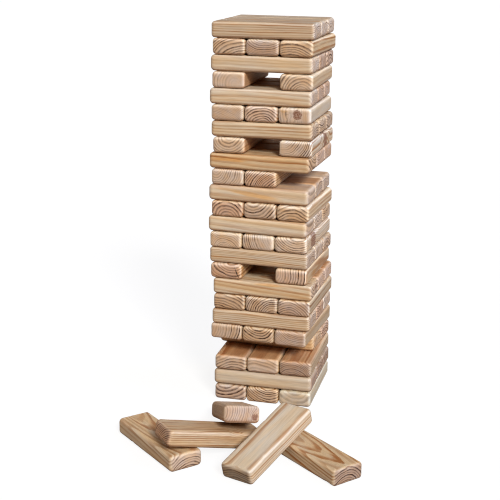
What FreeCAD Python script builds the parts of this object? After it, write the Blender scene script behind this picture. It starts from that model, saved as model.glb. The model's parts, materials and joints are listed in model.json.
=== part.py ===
import FreeCAD, Part
import os

from FreeCAD import Placement, Rotation, Vector

# Giant tumbling tower: 72 equal softwood blocks, three to a level, turned a quarter turn level by level.
# Five of them have been drawn out and lie in front of the tower. Millimetres, +Z up.
# The origin is the middle of the base row's middle block, on its underside.

# One block
BLOCK_LENGTH = 178.0
BLOCK_WIDTH = 58.0
BLOCK_THICKNESS = 28.0
EDGE_RADIUS = 5.5          # every edge and corner is rounded over

# The stack
ROW_PITCH = 58.6           # from one block to the next in a level: the width and a hair of play
BLOCKS_PER_LEVEL = 3

# How far each level has slipped sideways (X, mm) and turned (degrees), from the base row up
LEVEL_SLIP_AND_TURN = [
    (-0.5, 1.5), (-1.0, 1.5), (-0.5, 1.5), (-6.0, -2.0), (-4.0, -2.5), (-3.0, -0.5),
    (-0.5, -1.0), (-1.5, 0.0), (-6.5, -1.0), (-6.0, -2.0), (-7.0, -1.5), (-9.0, -2.0),
    (-4.5, -1.5), (-9.5, -0.5), (-5.0, -1.0), (-8.0, -1.0), (-4.0, 0.0), (-6.0, 0.0),
    (-7.5, 0.5), (-10.5, 1.5), (-6.5, 1.0), (-7.5, 0.0), (-4.0, -1.0), (-6.5, 0.5),
]
LEVELS = len(LEVEL_SLIP_AND_TURN)

# Odd levels run front to back and are counted from the left, even ones run across and from the front
ACROSS_NAMES = ("front", "middle", "back")
DEPTH_NAMES = ("left", "middle", "right")

# Blocks that have been drawn out of the tower
DRAWN_OUT = {(4, "front"), (9, "middle"), (15, "right"), (17, "middle"), (21, "middle")}

# Blocks that the tower can't stand without: the base row, the top row that weighs the others down,
# and what must stay where a level has already lost a block
BASE_LEVEL = 1
KEYSTONES = {
    (4, "middle"), (15, "middle"),
    (9, "left"), (9, "right"), (17, "left"), (17, "right"), (21, "left"), (21, "right"),
    (24, "front"), (24, "middle"), (24, "back"),
}

# The fallen blocks: centre x and y, then yaw, pitch and roll in degrees.
# Each rests on the ground by its lowest edge or corner, and the pitched ones lean on another.
FALLEN = {
    "fallen_block_left": (-110.5, -313.0, -41.0, 0.0, 0.0),
    "fallen_block_right": (137.5, -288.0, -39.0, 0.0, 0.0),
    "fallen_block_across": (-24.0, -308.0, 44.0, 13.9, -0.7),
    "fallen_block_propped": (-6.0, -235.5, 114.0, 20.8, 4.3),
    "fallen_block_leaning": (70.5, -310.5, 70.0, -14.4, -1.2),
}


def rounded_block():
    """One block centred on the origin, its length along X."""
    corner = Vector(-BLOCK_LENGTH / 2, -BLOCK_WIDTH / 2, -BLOCK_THICKNESS / 2)
    box = Part.makeBox(BLOCK_LENGTH, BLOCK_WIDTH, BLOCK_THICKNESS, corner)
    return box.makeFillet(EDGE_RADIUS, box.Edges)


def placed(block, placement):
    """A copy of the block, moved."""
    copy = block.copy()
    copy.Placement = placement
    return copy


def runs_across(level):
    return level % 2 == 0


def tower_placement(level, index):
    """Where block 0, 1 or 2 of a level goes: its level's own turn and slip, then its height."""
    slip, turn = LEVEL_SLIP_AND_TURN[level - 1]
    offset = (index - (BLOCKS_PER_LEVEL - 1) / 2) * ROW_PITCH
    height = (level - 0.5) * BLOCK_THICKNESS
    if runs_across(level):
        in_level = Placement(Vector(0, offset, 0), Rotation(0, 0, 0))
    else:
        in_level = Placement(Vector(offset, 0, 0), Rotation(90, 0, 0))
    level_placement = Placement(Vector(slip, 0, height), Rotation(turn, 0, 0))
    return level_placement.multiply(in_level)


def fallen_placement(x, y, yaw, pitch, roll):
    """A fallen block's placement, at the height where its lowest rounded corner meets the ground."""
    rotation = Rotation(yaw, pitch, roll)
    height = EDGE_RADIUS
    for side, half in (
        (Vector(1, 0, 0), BLOCK_LENGTH / 2),
        (Vector(0, 1, 0), BLOCK_WIDTH / 2),
        (Vector(0, 0, 1), BLOCK_THICKNESS / 2),
    ):
        height += (half - EDGE_RADIUS) * abs(rotation.multVec(side).z)
    return Placement(Vector(x, y, height), rotation)


def tower_nodes(block):
    """Every block still in the tower, by node: the movable ones singly, the others in two groups."""
    singles = {}
    base_row = []
    keystones = []
    for level in range(1, LEVELS + 1):
        names = ACROSS_NAMES if runs_across(level) else DEPTH_NAMES
        for index, name in enumerate(names):
            if (level, name) in DRAWN_OUT:
                continue
            piece = placed(block, tower_placement(level, index))
            if level == BASE_LEVEL:
                base_row.append(piece)
            elif (level, name) in KEYSTONES:
                keystones.append(piece)
            else:
                singles[f"block_{level:02d}_{name}"] = piece
    singles["base_row"] = Part.makeCompound(base_row)
    singles["keystone_blocks"] = Part.makeCompound(keystones)
    return singles


def fallen_nodes(block):
    return {name: placed(block, fallen_placement(*pose)) for name, pose in FALLEN.items()}


def main():
    block = rounded_block()
    nodes = tower_nodes(block)
    nodes.update(fallen_nodes(block))
    os.makedirs("parts", exist_ok=True)
    for name, shape in nodes.items():
        shape.exportStep(f"parts/{name}.step")
    print(len(nodes), "nodes")


main()
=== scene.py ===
import json
import math
import random
from collections import namedtuple

import bpy
import numpy as np
from mathutils import Matrix, Quaternion, Vector


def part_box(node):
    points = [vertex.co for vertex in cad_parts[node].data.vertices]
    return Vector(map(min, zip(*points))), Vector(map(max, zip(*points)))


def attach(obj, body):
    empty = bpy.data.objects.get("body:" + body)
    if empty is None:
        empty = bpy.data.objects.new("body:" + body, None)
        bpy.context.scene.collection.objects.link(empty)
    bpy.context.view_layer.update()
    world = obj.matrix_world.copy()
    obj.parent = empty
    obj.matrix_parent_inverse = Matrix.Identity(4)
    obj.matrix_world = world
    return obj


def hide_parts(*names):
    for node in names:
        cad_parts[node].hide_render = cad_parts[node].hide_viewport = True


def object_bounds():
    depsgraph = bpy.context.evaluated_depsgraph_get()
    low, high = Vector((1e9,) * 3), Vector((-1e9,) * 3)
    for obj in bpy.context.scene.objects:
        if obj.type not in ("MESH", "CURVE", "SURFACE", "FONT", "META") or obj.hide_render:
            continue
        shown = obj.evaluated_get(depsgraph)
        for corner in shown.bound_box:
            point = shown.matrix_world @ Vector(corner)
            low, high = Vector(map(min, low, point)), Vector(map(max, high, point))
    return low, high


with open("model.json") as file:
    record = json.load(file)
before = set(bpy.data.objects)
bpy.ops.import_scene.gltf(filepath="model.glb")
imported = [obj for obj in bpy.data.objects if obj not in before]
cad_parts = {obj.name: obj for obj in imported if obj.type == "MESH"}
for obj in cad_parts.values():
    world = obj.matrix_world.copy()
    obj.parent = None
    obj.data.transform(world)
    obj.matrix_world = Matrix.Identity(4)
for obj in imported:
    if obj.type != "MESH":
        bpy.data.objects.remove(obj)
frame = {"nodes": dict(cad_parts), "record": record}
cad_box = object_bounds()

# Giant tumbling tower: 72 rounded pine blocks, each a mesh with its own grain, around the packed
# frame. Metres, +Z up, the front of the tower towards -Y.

MM = 0.001

# One block, in millimetres. Its faces stand a hair inside the CAD faces, so neighbours never touch.
LENGTH = 178.0
WIDTH = 58.0
THICKNESS = 28.0
FACE_GAP = 0.2
EDGE_RADIUS = 6.6
EDGE_RADIUS_SPREAD = 0.7
ROW_GAP = 0.6              # between the blocks of a level

# How a block is worn, in mm
DENTS = (3, 7)                      # fewest and most knocks
DENT_RADIUS = (5, 9)
DENT_DEPTH = (0.4, 1.0)
WAVES = 4
WAVE_HEIGHT = 0.03
WAVE_LENGTHS = (30, 12, 12)         # the shortest, along the length, width and thickness
PLANED_OFF = WAVES * WAVE_HEIGHT    # so that no wave stands out of a face

# How finely a block's surface is cut
ROUNDING_ANGLES = (15, 30, 45)      # degrees from the flat, on each side of an edge
FLAT_CUTS = (32, 10, 5)             # along the length, the width and the thickness
SUPPORT_LOOP = 1.0                  # mm from the rounding to the first cut in the flat

ACROSS_NAMES = ("front", "middle", "back")
DEPTH_NAMES = ("left", "middle", "right")
FALLEN_PREFIX = "fallen_block_"
KEYSTONES = "keystone_blocks"
BASE_ROW = "base_row"
TOP_LEVEL = 24
STACK = "stack"

# -------------------------------------------------------------------------------------------------
# How each block's wood looks
# -------------------------------------------------------------------------------------------------

# Everything is seen from the block's front end, in millimetres: right and up from its middle.
# pith: where the heart of the tree lies; ring: the width of a year's growth; strength: how dark the
# latewood is; tones: the tints of the ends, of the sides, and of the top and bottom; fade: 1 when the
# rings die out towards the left, -1 towards the right; drift: how far the pith moves right and up by
# the far end; knot, split and streak: see their own tuples.
Look = namedtuple("Look", "pith ring strength tones fade drift knot split streak")

# A branch's stub. face: "end" or "side", where it comes out; along: mm from the front end, for a
# side knot; across: mm right and up of the block's middle (a side knot uses only up); radius: mm.
Knot = namedtuple("Knot", "face along across radius")

# A drying crack in the front end: where its middle is, its direction in degrees, and its length.
Split = namedtuple("Split", "right up angle length")

# An orange resin streak along the grain: its middle, its length and width, and how far it falls
# towards the back end for each mm.
Streak = namedtuple("Streak", "along right up length width fall")

# Tints that the wood's linear colour is multiplied by
TONES = {
    "white": (1.18, 1.27, 1.36),
    "pale": (1.09, 1.13, 1.16),
    "golden": (1.04, 1.02, 0.95),
    "orange": (1.02, 0.93, 0.77),
    "brown": (0.93, 0.91, 0.88),
    "pink": (1.02, 0.97, 0.96),
    "grey": (0.99, 1.02, 1.05),
    "mauve": (0.87, 0.85, 0.88),
    "reddish": (0.96, 0.84, 0.77),
    # Painted shade: a darker, redder tint for tops and sides seen only in shadowed slots and the
    # notch
    "painted_shade_rust": (0.90, 0.64, 0.45),
    "amber": (0.92, 0.85, 0.74),
    "tan": (0.80, 0.77, 0.70),
    "dim": (0.68, 0.62, 0.60),
    # Only the leaning fallen block's ends: a dull, dark grey
    "ashen": (0.93, 1.05, 1.10),
    "dark_grey": (0.50, 0.51, 0.49),
}


def look(right, up, ring, strength, end, top=None, side=None, fade=0.0, drift=(0.0, 0.0), knot=None,
         split=None, streak=None):
    tones = (end, side or end, top or end)
    return Look((right, up), ring, strength, tones, fade, drift, knot, split, streak)


# Rust tops and sides and the reddish top of (14, back) are painted shade, in slots and the notch
LOOKS = {
    # Levels that run front to back, by the ends that face the front
    (23, "left"): look(25, -49, 5.0, 1.05, "golden", "reddish"),
    (23, "middle"): look(5, 45, 2.9, 0.80, "mauve", "grey"),
    (23, "right"): look(-9, -56, 4.8, 1.00, "orange", "golden"),
    (21, "left"): look(12, -6, 4.8, 0.30, "grey", "pink", "painted_shade_rust", fade=-0.8),
    (21, "right"): look(10, -17, 4.8, 0.80, "golden", fade=-0.4),
    (19, "left"): look(-30, -70, 2.6, 0.45, "brown", "grey"),
    (19, "middle"): look(3, -22, 4.6, 1.20, "pink"),
    (19, "right"): look(45, 0, 4.5, 0.40, "grey", fade=-0.9, knot=Knot("end", 0, (5, 3), 8),
                        streak=Streak(0, -19, 9, 60, 11, 0)),
    (17, "left"): look(0, 19, 4.6, 0.70, "golden", "pale", "painted_shade_rust"),
    (17, "right"): look(-22, 20, 3.5, 0.80, "grey", "white", "pale", fade=0.8,
                        knot=Knot("side", 108, (0, 0), 15)),
    (15, "left"): look(-20, 12, 3.7, 0.65, "grey", "reddish"),
    (15, "middle"): look(51, -44, 3.3, 1.10, "reddish", "pale", "orange"),
    (13, "left"): look(0, -17, 5.4, 1.10, "reddish", "orange"),
    (13, "middle"): look(-12, 26, 5.4, 1.05, "brown", "golden"),
    (13, "right"): look(0, -32, 5.4, 1.00, "orange", "white", "golden"),
    (11, "left"): look(0, -21, 3.3, 0.60, "golden"),
    (11, "middle"): look(75, 28, 4.2, 0.65, "grey", fade=-0.9),
    (11, "right"): look(14, 37, 4.2, 0.95, "pale", knot=Knot("side", 48, (0, 0), 17)),
    (9, "left"): look(10, 35, 5.0, 0.95, "reddish", "pink", "orange", split=Split(20, -1, 113, 22),
                      streak=Streak(0, 28, 0, 50, 30, 0)),
    (9, "right"): look(-33, 5, 4.6, 0.90, "pink", "orange", "amber", fade=0.7,
                       streak=Streak(55, 29, -3, 36, 18, 0)),
    (7, "left"): look(-19, -56, 4.8, 1.10, "amber"),
    (7, "middle"): look(24, -22, 3.5, 1.20, "brown", "golden"),
    (7, "right"): look(-7, -28, 4.0, 0.90, "mauve", "orange", "tan"),
    (5, "left"): look(-60, 15, 4.6, 0.65, "brown", "pink", fade=0.9),
    (5, "middle"): look(0, 30, 4.1, 1.15, "amber", "golden"),
    (5, "right"): look(15, 50, 2.9, 0.60, "mauve", "reddish", "tan"),
    (3, "left"): look(9, -40, 5.2, 0.95, "brown", "painted_shade_rust"),
    (3, "middle"): look(-7, -49, 5.5, 0.60, "grey", "painted_shade_rust", "orange"),
    (3, "right"): look(-5, -30, 3.2, 0.85, "dim", "painted_shade_rust", "tan"),
    (1, "left"): look(-7, 37, 6.4, 1.05, "mauve"),
    (1, "middle"): look(12, 44, 3.9, 1.20, "amber", "orange"),
    (1, "right"): look(0, 30, 6.5, 0.55, "ashen"),
    # Levels that run across: their front block's long side faces the front, their ends the right
    (24, "front"): look(5, -60, 3.0, 0.90, "white", "grey", "brown"),
    (24, "middle"): look(12, -24, 3.4, 0.80, "white", "grey"),
    (24, "back"): look(-8, 30, 4.0, 0.80, "white", "grey"),
    (22, "front"): look(4, -30, 3.4, 0.60, "white", "pale", "pale"),
    (20, "middle"): look(12, 40, 4.0, 0.70, "pink", "painted_shade_rust"),
    (20, "back"): look(2, 30, 4.0, 0.60, "pink", "painted_shade_rust"),
    (16, "middle"): look(-12, 40, 4.0, 0.60, "pink", "painted_shade_rust"),
    (16, "back"): look(5, 35, 4.0, 0.60, "pink", "painted_shade_rust"),
    (14, "middle"): look(10, -40, 3.5, 0.80, "grey", "painted_shade_rust"),
    (14, "back"): look(-10, -40, 3.5, 0.80, "grey", "reddish"),
    (8, "middle"): look(20, 40, 4.0, 0.60, "pink", "painted_shade_rust"),
    (8, "back"): look(5, -35, 4.0, 0.60, "pink", "painted_shade_rust"),
    (20, "front"): look(10, 25, 4.2, 0.65, "pale", drift=(0, 8)),
    (18, "front"): look(5, -45, 4.3, 1.00, "golden"),
    (16, "front"): look(12, 30, 7.5, 1.00, "orange", drift=(-5, 10),
                        streak=Streak(148, -29, 3, 110, 9, 0)),
    (14, "front"): look(0, 50, 11.0, 0.50, "pale", "reddish", "pale", drift=(0, 12),
                        streak=Streak(100, -29, 1, 150, 11, -0.13)),
    (12, "front"): look(0, 44, 9.0, 0.70, "pale", drift=(0, 5)),
    (10, "front"): look(0, -60, 2.7, 0.90, "grey"),
    (8, "front"): look(8, 34, 6.0, 0.90, "golden", drift=(0, 12), knot=Knot("end", 0, (8, 4), 6),
                       streak=Streak(75, -29, 10, 70, 7, 0)),
    (6, "front"): look(4, -50, 3.0, 0.90, "grey"),
    (4, "middle"): look(10, -30, 4.0, 0.80, "orange"),
    (2, "front"): look(10, -60, 7.0, 0.35, "dim", "tan", "grey"),
    (2, "middle"): look(-10, -30, 4.0, 0.80, "dim"),
    (2, "back"): look(10, 20, 4.0, 0.80, "dim"),
    # The fallen blocks, by the end that faces the front
    "fallen_block_left": look(4, -28, 4.0, 1.00, "brown", "orange", "golden", drift=(2, 14)),
    "fallen_block_across": look(30, -22, 3.6, 1.00, "reddish", "amber", "amber", drift=(9, 7),
                                knot=Knot("side", 120, (0, 21), 6)),
    "fallen_block_propped": look(-40, 4, 3.8, 0.60, "mauve", "pink", "pink",
                                 knot=Knot("end", 0, (21, -4), 5)),
    "fallen_block_leaning": look(6, -60, 4.4, 0.80, "dark_grey", "pale", "pale"),
    "fallen_block_right": look(-4, -26, 4.0, 1.10, "dim", "orange", "golden", drift=(-3, 16)),
}


# What a block that isn't in LOOKS is drawn from
CHANCE_DISTANCE = (18, 60)          # mm from its middle to the pith
CHANCE_ANGLE = (0.6, 2.5)           # radians from straight right to the pith, up or down
CHANCE_DRIFT = (-6, 6)
CHANCE_RING = (3.5, 6.0)
CHANCE_STRENGTH = (0.8, 1.1)
CHANCE_TONES = ("pale", "golden", "brown", "pink", "grey", "reddish")


def chance_look(rng):
    """A block that nobody described: a board from above or below the heart of any log."""
    distance = rng.uniform(*CHANCE_DISTANCE)
    angle = rng.choice((-1, 1)) * rng.uniform(*CHANCE_ANGLE)
    drift = (rng.uniform(*CHANCE_DRIFT), rng.uniform(*CHANCE_DRIFT))
    tone = rng.choice(CHANCE_TONES)
    pith = (distance * math.cos(angle), distance * math.sin(angle))
    ring = rng.uniform(*CHANCE_RING)
    return look(*pith, ring, rng.uniform(*CHANCE_STRENGTH), tone, drift=drift)


# -------------------------------------------------------------------------------------------------
# Where each block is, read from its CAD node
# -------------------------------------------------------------------------------------------------

# centre, then unit axes: towards the front end, to the right and up as seen from that end
Pose = namedtuple("Pose", "centre end right up")

FRONT = Vector((0.27, -0.96, 0.0))     # an end counts as the front one if it faces more this way
ONE_CORNER = 1e-5                      # metres: triangle corners this near are one
NEARLY_SQUARE = 0.05                   # cosine of a face's angle to the upward axis


def separate_solids(mesh):
    """The triangles of each separate solid in a node, as arrays of corner coordinates."""
    mesh.calc_loop_triangles()
    triangles = [tuple(t.vertices) for t in mesh.loop_triangles]
    keys = [tuple(round(c / ONE_CORNER) for c in v.co) for v in mesh.vertices]
    parent = {key: key for key in keys}

    def root(key):
        while parent[key] != key:
            parent[key] = parent[parent[key]]
            key = parent[key]
        return key

    for a, b, c in triangles:
        parent[root(keys[a])] = root(keys[b])
        parent[root(keys[b])] = root(keys[c])
    solids = {}
    for triangle in triangles:
        corners = [mesh.vertices[i].co for i in triangle]
        solids.setdefault(root(keys[triangle[0]]), []).append(corners)
    return [np.array(solid, float) for solid in solids.values()]


def pose_of(solid):
    """A block's pose from its surface: the largest flats face up and down, the next sideways."""
    normals = np.cross(solid[:, 1] - solid[:, 0], solid[:, 2] - solid[:, 0])
    areas = np.linalg.norm(normals, axis=1)
    normals = normals / areas[:, None].clip(1e-15)
    up = Vector(normals[areas.argmax()])
    if up.z < 0:
        up.negate()
    upright = np.abs(normals @ np.array(up)) < NEARLY_SQUARE
    across = Vector(normals[np.where(upright, areas, 0).argmax()])
    end = across.cross(up).normalized()
    if end.dot(FRONT) < 0:
        end.negate()
    corners = solid.reshape(-1, 3)
    centre = Vector((0, 0, 0))
    for axis in (end, up.cross(end), up):
        reach = corners @ np.array(axis)
        centre += axis * float(reach.max() + reach.min()) / 2
    return Pose(centre, end, up.cross(end).normalized(), up)


def place_in_tower(pose):
    """(level, place) of a block in the tower: levels from the base, places from left or front."""
    level = round(pose.centre.z / (THICKNESS * MM) + 0.5)
    names = ACROSS_NAMES if level % 2 == 0 else DEPTH_NAMES
    pitch = (WIDTH + ROW_GAP) * MM
    return level, names[round(pose.centre.dot(pose.right) / pitch) + 1]


# -------------------------------------------------------------------------------------------------
# One block's mesh
# -------------------------------------------------------------------------------------------------

def axis_samples(size, cuts):
    """Samples along one axis: place on the inner flat, -1 to 1, and how far the surface turns."""
    support = 1 - SUPPORT_LOOP / (size / 2 - EDGE_RADIUS)
    turns = [math.tan(math.radians(angle)) for angle in ROUNDING_ANGLES]
    flats = [-1, *np.linspace(-support, support, cuts + 1), 1]
    places = [-1] * len(turns) + flats + [1] * len(turns)
    bends = [-t for t in reversed(turns)] + [0] * len(flats) + turns
    return places, bends


def shell(counts):
    """The points on the outside of a lattice, and the quads between them, facing out."""
    points = {}
    quads = []
    for axis in range(3):
        u = (axis + 1) % 3
        v = (axis + 2) % 3
        for side in (0, counts[axis] - 1):
            for a in range(counts[u] - 1):
                for b in range(counts[v] - 1):
                    quad = []
                    for da, db in ((0, 0), (1, 0), (1, 1), (0, 1)):
                        corner = [0, 0, 0]
                        corner[axis] = side
                        corner[u] = a + da
                        corner[v] = b + db
                        quad.append(points.setdefault(tuple(corner), len(points)))
                    quads.append(quad if side else quad[::-1])
    return np.array(list(points)), quads


SIZES = np.array((LENGTH, WIDTH, THICKNESS))
SAMPLES = [axis_samples(size, cuts) for size, cuts in zip(SIZES, FLAT_CUTS)]
POINTS, QUADS = shell([len(places) for places, bends in SAMPLES])
PLACES = np.stack([np.array(SAMPLES[i][0])[POINTS[:, i]] for i in range(3)], axis=1)
BENDS = np.stack([np.array(SAMPLES[i][1])[POINTS[:, i]] for i in range(3)], axis=1)
OUTWARDS = BENDS / np.linalg.norm(BENDS, axis=1)[:, None]
ROUNDNESS = (1 - np.abs(OUTWARDS).max(axis=1)) / (1 - math.sqrt(0.5))


def dented(rng, points, halves):
    """How far, in mm, knocks have pushed each point in: small ones, all along the edges."""
    depth = np.zeros(len(points))
    for _ in range(rng.randint(*DENTS)):
        spot = [rng.choice((-1, 1)) * half for half in halves]
        along = rng.choice((0, 0, 0, 1, 2))
        spot[along] = rng.uniform(-1, 1) * halves[along]
        radius = rng.uniform(*DENT_RADIUS)
        distance = np.linalg.norm(points - np.array(spot), axis=1) / radius
        depth += rng.uniform(*DENT_DEPTH) * (1 - distance.clip(0, 1) ** 2) ** 2
    return depth


def rippled(rng, points):
    """The planer's and the weather's slow waves, in mm."""
    waves = np.zeros(len(points))
    for _ in range(WAVES):
        direction = np.array([rng.uniform(-1, 1) / length for length in WAVE_LENGTHS])
        waves += WAVE_HEIGHT * np.sin(points @ direction * 2 * math.pi + rng.uniform(0, 6.28))
    return waves + PLANED_OFF


def block_shape(rng):
    """One block's points in mm, along its length, width and thickness: rounded, waved, dented."""
    radius = EDGE_RADIUS + rng.uniform(-1, 1) * EDGE_RADIUS_SPREAD
    halves = SIZES / 2 - FACE_GAP
    points = PLACES * (halves - radius) + OUTWARDS * radius
    worn = rippled(rng, points) + dented(rng, points, halves)
    return points - OUTWARDS * worn[:, None]


FAR_AWAY = 1000.0          # a field's value where a block has no knot, split or streak
NOISE_SPREAD = 40          # how many cells apart the blocks' noises are drawn
END_KNOT_DEPTH = 40        # mm from the front end to where an end knot dies out
STREAK_DEPTH = 12          # mm that a resin streak reaches to each side of its middle

# Painted shade on the downward-facing roundings: its darker, redder tint, and how strongly it takes
PAINTED_UNDERSIDE_SHADE = (0.52, 0.36, 0.27)
PAINTED_UNDERSIDE_SHADE_STRENGTH = 1.4

# How pale a block's roundings are, rubbed and with a painted highlight, from 0 to 1
RUBBED_AND_HIGHLIT_ACROSS = 0.35       # blocks that run across, or lie on the ground
RUBBED_AND_HIGHLIT_LOW = 0.65          # blocks that run to the back, in levels below LOW_LEVELS
RUBBED_AND_HIGHLIT_HIGH = 1.0          # the same, from LOW_LEVELS up
LOW_LEVELS = 6

# The faintest and strongest latewood
LATEWOOD_LIMITS = (0.08, 1.2)


def knot_field(points, knot):
    """Where each point is from a knot's axis, in knot radii, and how much of it is left there."""
    field = np.full((len(points), 3), FAR_AWAY)
    if knot is None:
        return field
    from_front = LENGTH / 2 - points[:, 0]
    if knot.face == "end":
        flat = points[:, 1:3] - np.array(knot.across)
        field[:, 2] = (1 - from_front / END_KNOT_DEPTH).clip(0, 1)
    else:
        flat = np.stack([from_front - knot.along, points[:, 2] - knot.across[1]], axis=1)
        field[:, 2] = 1
    field[:, 0:2] = flat / knot.radius
    return field


def split_field(points, split):
    """Where each point is from a drying crack: mm off its plane, -1 to 1 along it, mm deep."""
    field = np.full((len(points), 3), FAR_AWAY)
    if split is None:
        return field
    angle = math.radians(split.angle)
    flat = points[:, 1:3] - np.array((split.right, split.up))
    field[:, 0] = flat @ np.array((-math.sin(angle), math.cos(angle)))
    field[:, 1] = flat @ np.array((math.cos(angle), math.sin(angle))) / (split.length / 2)
    field[:, 2] = LENGTH / 2 - points[:, 0]
    return field


def streak_field(points, streak):
    """Where each point is from a resin streak's middle: 1 at its tips and edges."""
    field = np.full((len(points), 3), FAR_AWAY)
    if streak is None:
        return field
    past = LENGTH / 2 - points[:, 0] - streak.along
    field[:, 0] = past / (streak.length / 2)
    field[:, 1] = (points[:, 1] - streak.right) / STREAK_DEPTH
    field[:, 2] = (points[:, 2] - streak.up + streak.fall * past) / (streak.width / 2)
    return field


def rubbed_and_highlit_edges(pose, key):
    """How pale a block's roundings are, rubbed and with a painted highlight. key: a level and a
    place, or a fallen block's name.
    """
    if isinstance(key, str) or abs(pose.end.x) > abs(pose.end.y):
        return RUBBED_AND_HIGHLIT_ACROSS
    return RUBBED_AND_HIGHLIT_LOW if key[0] < LOW_LEVELS else RUBBED_AND_HIGHLIT_HIGH


def painted_underside_shade():
    """A tint for each point: painted shade, darker and redder on the downward-facing roundings."""
    below = (ROUNDNESS * (-OUTWARDS[:, 2]).clip(0, 1))[:, None]
    return 1 - below * (1 - np.array(PAINTED_UNDERSIDE_SHADE)) * PAINTED_UNDERSIDE_SHADE_STRENGTH


def wood_fields(points, wood, seed, rubbed_and_highlit):
    """What the pine material reads at each point, by attribute name."""
    from_front = (LENGTH / 2 - points[:, 0]) / LENGTH
    pith = np.array(wood.pith) + from_front[:, None] * np.array(wood.drift)
    place = np.concatenate([points[:, 1:3] - pith, points[:, 0:1]], axis=1) / 10
    across = points[:, 1] / (WIDTH / 2)
    strength = (wood.strength * (1 + wood.fade * across)).clip(*LATEWOOD_LIMITS)
    rings = np.full(len(points), 10 / wood.ring)
    ones = np.ones(len(points))
    return {
        "place": place,
        "grain": np.stack([rings, strength, seed * ones], axis=1),
        # tone: each face's tint, times the painted shade on the downward-facing roundings
        "tone": OUTWARDS ** 2 @ np.array([TONES[tone] for tone in wood.tones]) * painted_underside_shade(),
        "facing": np.stack([np.abs(OUTWARDS[:, 0]), ROUNDNESS, rubbed_and_highlit * ones], axis=1),
        "knot": knot_field(points, wood.knot),
        "split": split_field(points, wood.split),
        "streak": streak_field(points, wood.streak),
    }


def block_parts(pose, key):
    """One block's points in metres, where it stands, and its material's fields."""
    rng = random.Random(f"pine {key}")
    points = block_shape(rng)
    wood = LOOKS.get(key) or chance_look(rng)
    fields = wood_fields(points, wood, rng.uniform(0, NOISE_SPREAD), rubbed_and_highlit_edges(pose, key))
    axes = np.array([pose.end, pose.right, pose.up])
    return np.array(pose.centre) + points * MM @ axes, fields


def mesh_object(name, blocks, material):
    """One object of one or several blocks, each given as its points and fields."""
    verts = np.concatenate([points for points, fields in blocks])
    faces = []
    for number in range(len(blocks)):
        first = number * len(POINTS)
        faces += [[first + i for i in quad] for quad in QUADS]
    mesh = bpy.data.meshes.new(name)
    mesh.from_pydata(verts.tolist(), [], faces)
    mesh.shade_smooth()
    for field in blocks[0][1]:
        values = np.concatenate([fields[field] for points, fields in blocks])
        attribute = mesh.attributes.new(field, "FLOAT_VECTOR", "POINT")
        attribute.data.foreach_set("vector", values.astype(np.float32).ravel())
    mesh.materials.append(material)
    piece = bpy.data.objects.new(name, mesh)
    bpy.context.scene.collection.objects.link(piece)
    return piece


# -------------------------------------------------------------------------------------------------
# Materials
# -------------------------------------------------------------------------------------------------

class Shader:
    """Adds nodes to a material or world. A value is a number, a tuple or another node's output."""

    def __init__(self, owner):
        owner.use_nodes = True
        self.tree = owner.node_tree
        self.tree.nodes.clear()

    def put(self, socket, value):
        if isinstance(value, bpy.types.NodeSocket):
            self.tree.links.new(value, socket)
        else:
            socket.default_value = value

    def node(self, kind, values=None, **settings):
        node = self.tree.nodes.new("ShaderNode" + kind)
        for name, value in settings.items():
            setattr(node, name, value)
        for name, value in (values or {}).items():
            self.put(node.inputs[name], value)
        return node

    def math(self, operation, *values):
        return self.node("Math", dict(enumerate(values)), operation=operation).outputs[0]

    def vector(self, operation, *values):
        node = self.node("VectorMath", dict(enumerate(values)), operation=operation)
        return node.outputs["Value" if operation == "LENGTH" else "Vector"]

    def combine(self, x, y, z):
        return self.node("CombineXYZ", {0: x, 1: y, 2: z}).outputs[0]

    def attribute(self, name):
        """A vector attribute: the whole, and its three parts."""
        whole = self.node("Attribute", attribute_name=name).outputs["Vector"]
        parts = self.node("SeparateXYZ", {0: whole}).outputs
        return whole, parts[0], parts[1], parts[2]

    def noise(self, vector, detail=2.0, output="Fac"):
        values = {"Vector": vector, "Scale": 1.0, "Detail": detail}
        return self.node("TexNoise", values).outputs[output]

    def noise_along(self, value, detail=1.0):
        """Noise along a line, such as from ring to ring."""
        values = {"W": value, "Scale": 1.0, "Detail": detail}
        return self.node("TexNoise", values, noise_dimensions="1D").outputs["Fac"]

    def ramp(self, value, low, high, to_low=0.0, to_high=1.0):
        """A smooth step from to_low to to_high as value goes from low to high."""
        values = {"Value": value, "From Min": low, "From Max": high}
        values.update({"To Min": to_low, "To Max": to_high})
        return self.node("MapRange", values, interpolation_type="SMOOTHSTEP").outputs[0]

    def mix(self, factor, a, b, blend="MIX"):
        node = self.node("Mix", data_type="RGBA", blend_type=blend)
        self.put(node.inputs["Factor"], factor)
        for socket, value in zip([i for i in node.inputs if i.type == "RGBA"], (a, b)):
            self.put(socket, (*value, 1.0) if isinstance(value, tuple) else value)
        return next(o for o in node.outputs if o.type == "RGBA")


# Colours of pine, linear RGB
EARLYWOOD = (0.60, 0.485, 0.35)
HEARTWOOD = (0.54, 0.365, 0.20)
LATEWOOD_SIDE = (0.33, 0.138, 0.042)
LATEWOOD_END = (0.065, 0.028, 0.013)
END_GROUND = (0.98, 0.90, 0.92)
# Edge cream: the pale of rubbed roundings, partly a painted highlight along the edges
EDGE_CREAM_AND_HIGHLIGHT = (1.0, 0.88, 0.74)
RESIN = (0.60, 0.33, 0.12)
KNOT_BROWN = (0.19, 0.07, 0.035)
SPLIT_DARK = (0.03, 0.015, 0.008)
WARMER = (1.03, 0.985, 0.91)       # tints that drift across each block
COOLER = (0.975, 1.01, 1.08)

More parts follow.
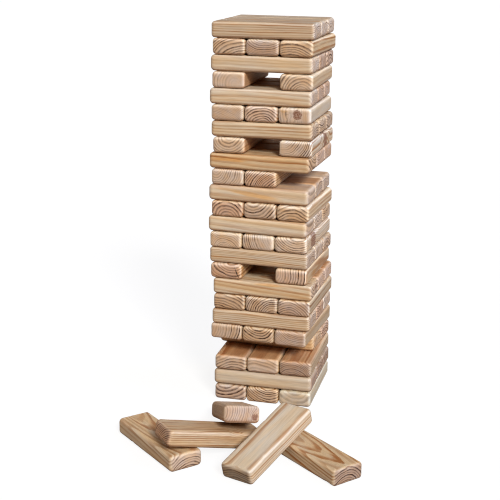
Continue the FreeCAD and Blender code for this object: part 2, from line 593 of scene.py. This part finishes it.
# The pine's rings and flaws
SLOW_WANDER = (0.8, 0.8, 0.0)      # cm, from side to side, over long and over short stretches
QUICK_WANDER = (0.16, 0.16, 0.0)
KNOT_SWELLING = 0.7                # cm that the rings bulge round a knot
RING_UNEVENNESS = 0.7              # of a ring's width
LATEWOOD_RISE = (0.30, 0.72)       # the part of a year in which the wood darkens
LATEWOOD_FALL = (1.0, 0.91)        # the part in which it turns pale again, from its end back
RESIN_STRENGTH = 0.75
EDGE_STRENGTH = 0.75
SPLIT_DEPTH = 14.0                 # mm that a drying crack goes in from the end face
SPLIT_WIDTH = 0.9                  # mm from its middle to its side, at the widest
SIDE_ROUGHNESS = 0.46
END_ROUGHNESS = 0.66
BUMP_DISTANCE = 0.0003             # metres


def pine_material():
    """Planed pine, from where each point lies in its log: rings, heartwood, fibres and flaws.

    The place is in cm, so stretched() takes noise cells to the cm: across, up and along."""
    material = bpy.data.materials.new("pine")
    s = Shader(material)
    place, across, up, along = s.attribute("place")
    _, rings_per_cm, strength, seed = s.attribute("grain")
    tone = s.attribute("tone")[0]
    _, end_facing, roundness, rubbed_and_highlit = s.attribute("facing")
    end = s.ramp(end_facing, 0.60, 0.92)
    _, knot_x, knot_y, knot_left = s.attribute("knot")
    _, split_off, split_along, split_deep = s.attribute("split")
    streak_place = s.attribute("streak")[0]
    own = s.combine(seed, seed, seed)

    def stretched(x, y, z):
        """The place in the log, scaled, and moved so that no two blocks share a noise."""
        return s.vector("MULTIPLY_ADD", place, (x, y, z), own)

    # Rings: distance from a wandering pith, swollen round a knot
    slow = s.vector("SUBTRACT", s.noise(stretched(0.3, 0.3, 0.05), 1.0, "Color"), (0.5, 0.5, 0.5))
    quick = s.vector("SUBTRACT", s.noise(stretched(1.6, 1.6, 0.16), 1.0, "Color"), (0.5, 0.5, 0.5))
    wander = s.vector("MULTIPLY_ADD", slow, SLOW_WANDER, s.vector("MULTIPLY", quick, QUICK_WANDER))
    radius = s.vector("LENGTH", s.vector("ADD", s.combine(across, up, 0.0), wander))
    ragged = s.math("MULTIPLY_ADD", s.noise(stretched(2.5, 2.5, 0.8), 3.0), 1.2, -0.6)
    knot_radius = s.math("ADD", s.vector("LENGTH", s.combine(knot_x, knot_y, 0.0)), ragged)
    swelling = s.math("MULTIPLY", s.ramp(knot_radius, 3.0, 0.5), knot_left)
    radius = s.math("MULTIPLY_ADD", swelling, KNOT_SWELLING, radius)
    uneven = s.noise_along(s.math("MULTIPLY_ADD", radius, 0.8, seed), 0.0)
    uneven = s.math("MULTIPLY", uneven, RING_UNEVENNESS)
    phase = s.math("ADD", s.math("MULTIPLY", radius, rings_per_cm), uneven)
    year = s.math("FLOOR", phase)
    season = s.math("FRACT", phase)
    latewood = s.math("MULTIPLY", s.ramp(season, *LATEWOOD_RISE), s.ramp(season, *LATEWOOD_FALL))
    year_noise = s.noise_along(s.math("MULTIPLY_ADD", year, 0.77, seed))
    year_strength = s.ramp(year_noise, 0.3, 0.7, 0.45, 1.0)
    patchy = s.ramp(s.noise(stretched(1.2, 1.2, 0.15), 2.0), 0.3, 0.6, 0.6, 1.0)
    juvenile = s.ramp(radius, 0.2, 1.6, 0.45, 1.0)
    year_strength = s.math("MULTIPLY", year_strength, s.math("MULTIPLY", patchy, juvenile))
    latewood = s.math("MULTIPLY", latewood, s.math("MULTIPLY", year_strength, strength))

    # Colour: earlywood and heartwood, resin, edges rubbed pale and painted as highlight, and
    # latewood, darkest on the ends
    zone = s.noise_along(s.math("MULTIPLY_ADD", radius, 0.6, seed), 0.0)
    ground = s.mix(s.ramp(zone, 0.45, 0.75, 0.0, 0.55), EARLYWOOD, HEARTWOOD)
    blotch = s.noise(stretched(0.5, 0.5, 0.12), 3.0)
    ground = s.mix(s.ramp(blotch, 0.35, 0.7, 0.0, 0.35), ground, HEARTWOOD)
    ground = s.mix(end, ground, s.mix(1.0, ground, END_GROUND, "MULTIPLY"))
    around = s.math("MULTIPLY_ADD", s.noise(stretched(1.5, 1.5, 0.25), 2.0), 1.0, -0.5)
    in_streak = s.math("ADD", s.vector("LENGTH", streak_place), around)
    ground = s.mix(s.ramp(in_streak, 1.0, 0.35, 0.0, RESIN_STRENGTH), ground, RESIN)
    # Wear and painted highlight: the roundings turn pale towards the edge cream
    cream = s.math("MULTIPLY", s.math("MULTIPLY", roundness, rubbed_and_highlit), EDGE_STRENGTH)
    ground = s.mix(cream, ground, EDGE_CREAM_AND_HIGHLIGHT)
    dark = s.mix(end, LATEWOOD_SIDE, LATEWOOD_END)
    showing = s.math("MULTIPLY", latewood, s.ramp(roundness, 0.0, 1.0, 1.0, 0.7))
    colour = s.mix(showing, ground, dark)

    # Fibres: fine streaks along the faces, pores across the ends
    streak = s.noise(stretched(14.0, 14.0, 0.35), 3.0)
    pore = s.noise(stretched(30.0, 30.0, 2.0), 2.0)
    fibre = s.mix(end, s.combine(streak, streak, streak), s.combine(pore, pore, pore))
    shade = s.ramp(fibre, 0.3, 0.7, 0.88, 1.10)
    colour = s.mix(1.0, colour, s.combine(shade, shade, shade), "MULTIPLY")

    # Knots: a dark core with rings of its own
    knot_ring = s.math("SINE", s.math("MULTIPLY", knot_radius, 16.0))
    core = s.math("MULTIPLY", s.ramp(knot_radius, 1.15, 0.75), knot_left)
    core = s.math("MULTIPLY", core, s.ramp(knot_ring, -1.0, 1.0, 0.60, 1.0))
    colour = s.mix(core, colour, KNOT_BROWN)

    # The tone tints each face and also carries painted shade: the rust tint and the lower roundings
    colour = s.mix(1.0, colour, tone, "MULTIPLY")
    hue = s.mix(s.ramp(s.noise(stretched(0.9, 0.9, 0.14), 2.0), 0.3, 0.7), WARMER, COOLER)
    colour = s.mix(1.0, colour, hue, "MULTIPLY")

    # A drying crack narrows to nothing at its ends and a short way in from the end face
    crooked = s.math("MULTIPLY_ADD", s.noise(stretched(4.0, 4.0, 1.0)), 1.6, -0.8)
    off = s.math("ABSOLUTE", s.math("ADD", split_off, crooked))
    reach = s.math("SUBTRACT", 1.0, s.math("ABSOLUTE", split_along))
    width = s.math("MULTIPLY", reach, s.ramp(split_deep, SPLIT_DEPTH, 0.0, 0.0, SPLIT_WIDTH))
    crack = s.ramp(s.math("SUBTRACT", off, width), 0.25, -0.05)
    colour = s.mix(crack, colour, SPLIT_DARK)

    # Roughness and relief: latewood stands proud and shines a little, cut ends are coarse
    roughness = s.ramp(end, 0.0, 1.0, SIDE_ROUGHNESS, END_ROUGHNESS)
    roughness = s.math("MULTIPLY_ADD", latewood, -0.10, roughness)
    roughness = s.math("ADD", roughness, s.ramp(fibre, 0.3, 0.7, 0.06, -0.04))
    height = s.math("MULTIPLY_ADD", fibre, 0.6, s.math("MULTIPLY", latewood, 0.5))
    height = s.math("SUBTRACT", height, s.math("MULTIPLY", crack, 3.0))
    bump = s.node("Bump", {"Height": height, "Distance": BUMP_DISTANCE, "Strength": 0.6})
    values = {"Base Color": colour, "Roughness": roughness, "Normal": bump.outputs[0]}
    values["Specular IOR Level"] = 0.5
    skin = s.node("BsdfPrincipled", values)
    s.node("OutputMaterial", {"Surface": skin.outputs[0]})
    return material


def floor_material():
    """A pale, matt studio floor, which the camera sees brighter than it lights the tower."""
    material = bpy.data.materials.new("floor")
    s = Shader(material)
    where = s.node("TexCoord").outputs["Object"]
    cloud = s.noise(s.vector("MULTIPLY", where, (3.0, 3.0, 3.0)), 3.0)
    pale = s.mix(cloud, *FLOOR_ALBEDO)
    values = {"Base Color": pale, "Roughness": 0.9, "Specular IOR Level": 0.1}
    values["Emission Color"] = (1.0, 1.0, 1.0, 1.0)
    values["Emission Strength"] = FLOOR_GLOW
    seen = s.node("BsdfPrincipled", values)
    bounce = s.node("BsdfDiffuse", {"Color": (*FLOOR_BOUNCE, 1.0)})
    camera_ray = s.node("LightPath").outputs["Is Camera Ray"]
    both = s.node("MixShader", {0: camera_ray, 1: bounce.outputs[0], 2: seen.outputs[0]})
    s.node("OutputMaterial", {"Surface": both.outputs[0]})
    return material


# -------------------------------------------------------------------------------------------------
# Stage: floor, light and camera
# -------------------------------------------------------------------------------------------------

FLOOR_SIZE = 60.0                              # metres
FLOOR_GLOW = 0.88                              # only the camera sees it
FLOOR_ALBEDO = ((0.14, 0.14, 0.14), (0.16, 0.16, 0.16))
FLOOR_BOUNCE = (0.37, 0.29, 0.23)              # its colour for the light that it throws back
KEY_DIRECTION = (0.5, -0.75, 0.60)             # towards the light
KEY_COLOUR = (1.0, 0.985, 0.96)
KEY_STRENGTH = 3.3
KEY_SOFTNESS = 16.0                            # degrees across
WINDOW_DIRECTION = (0.80, 0.10, 0.55)
WINDOW_COLOUR = (0.45, 0.64, 1.0)
WINDOW_STRENGTH = 1.5
WINDOW_SOFTNESS = 50.0
FILL_DIRECTION = (-0.40, 0.92, 0.02)           # nearly level, so it hardly lights the top faces
FILL_COLOUR = (1.0, 0.95, 0.88)
FILL_STRENGTH = 1.7
FILL_SOFTNESS = 30.0
SKY_SEEN = (1.0, 1.0, 1.0)
SKY_LIGHT = (0.215, 0.165, 0.13)


def make_floor(level):
    half = FLOOR_SIZE / 2
    mesh = bpy.data.meshes.new("floor")
    flat = ((-half, -half), (half, -half), (half, half), (-half, half))
    corners = [(x, y, level) for x, y in flat]
    mesh.from_pydata(corners, [], [(0, 1, 2, 3)])
    mesh.materials.append(floor_material())
    floor = bpy.data.objects.new("floor", mesh)
    bpy.context.scene.collection.objects.link(floor)


def make_lamp(name, direction, colour, strength, softness):
    sun = bpy.data.lights.new(name, "SUN")
    sun.energy = strength
    sun.angle = math.radians(softness)
    sun.color = colour
    lamp = bpy.data.objects.new(name, sun)
    lamp.rotation_euler = Vector(direction).to_track_quat("Z", "Y").to_euler()
    bpy.context.scene.collection.objects.link(lamp)
    return lamp


def make_light():
    """A warm soft key from the right front, a cool window from the right, a low fill from the back
    left for the sides that the camera doesn't see, and a dim warm room."""
    make_lamp("key", KEY_DIRECTION, KEY_COLOUR, KEY_STRENGTH, KEY_SOFTNESS)
    make_lamp("window", WINDOW_DIRECTION, WINDOW_COLOUR, WINDOW_STRENGTH, WINDOW_SOFTNESS)
    fill = make_lamp("fill", FILL_DIRECTION, FILL_COLOUR, FILL_STRENGTH, FILL_SOFTNESS)
    fill.visible_glossy = False
    world = bpy.data.worlds.new("studio")
    bpy.context.scene.world = world
    s = Shader(world)
    camera_ray = s.node("LightPath").outputs["Is Camera Ray"]
    sky = s.node("Background", {"Color": s.mix(camera_ray, SKY_LIGHT, SKY_SEEN)})
    s.node("OutputWorld", {"Surface": sky.outputs[0]})


CAMERA_AZIMUTH = 15.4          # degrees to the right of straight in front
CAMERA_ELEVATION = 12.7
CAMERA_ROLL = 0.52
CAMERA_DISTANCE = 2.062
CAMERA_LENS = 82.9             # mm
SENSOR_WIDTH = 36.0            # mm
CAMERA_SHIFT_UP = -0.12
AIM_LEFT = 0.048               # metres from the tower's middle
AIM_HEIGHT = 0.5454            # of the tower's height


def make_camera(tower_height):
    azimuth = math.radians(CAMERA_AZIMUTH)
    elevation = math.radians(CAMERA_ELEVATION)
    back = Vector((
        math.sin(azimuth) * math.cos(elevation),
        -math.cos(azimuth) * math.cos(elevation),
        math.sin(elevation),
    ))
    aim = Vector((-AIM_LEFT, 0.0, AIM_HEIGHT * tower_height))
    data = bpy.data.cameras.new("camera")
    data.lens = CAMERA_LENS
    data.sensor_width = SENSOR_WIDTH
    data.shift_y = CAMERA_SHIFT_UP
    camera = bpy.data.objects.new("camera", data)
    turn = back.to_track_quat("Z", "Y")
    roll = Quaternion((0, 0, 1), math.radians(CAMERA_ROLL))
    place = Matrix.Translation(aim + back * CAMERA_DISTANCE)
    camera.matrix_world = place @ (turn @ roll).to_matrix().to_4x4()
    bpy.context.scene.collection.objects.link(camera)
    bpy.context.scene.camera = camera


# -------------------------------------------------------------------------------------------------
# The tower
# -------------------------------------------------------------------------------------------------

def finish_piece(piece, body):
    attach(piece, body)


def make_single(node, body, material):
    """The piece for a node that holds one block, on the ground or in the tower."""
    pose = pose_of(separate_solids(frame["nodes"][node].data)[0])
    key = node if node.startswith(FALLEN_PREFIX) else place_in_tower(pose)
    piece = mesh_object("pine_" + node, [block_parts(pose, key)], material)
    finish_piece(piece, body)
    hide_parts(node)


def make_group(node, body, material):
    """The pieces for a group node: the base and top rows block by block, the keystones as one."""
    poses = [pose_of(solid) for solid in separate_solids(frame["nodes"][node].data)]
    placed = sorted((place_in_tower(pose), pose) for pose in poses)
    buried = []
    pieces = []
    for key, pose in placed:
        parts = block_parts(pose, key)
        level, place = key
        if node == BASE_ROW or level == TOP_LEVEL:
            pieces.append(mesh_object(f"pine_block_{level:02d}_{place}", [parts], material))
        else:
            buried.append(parts)
    if buried:
        pieces.insert(0, mesh_object("pine_" + node, buried, material))
    for piece in pieces:
        finish_piece(piece, body)
    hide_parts(node)


def make_tower():
    material = pine_material()
    for body, nodes in frame["record"]["behaviour"]["bodies"].items():
        for node in nodes:
            if body == STACK:
                make_group(node, body, material)
            else:
                make_single(node, body, material)


bpy.context.scene.view_settings.view_transform = "Standard"
bpy.context.scene.cycles.filter_width = 1.1
tower_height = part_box(KEYSTONES)[1].z
make_camera(tower_height)
make_light()
make_floor(cad_box[0].z)
make_tower()
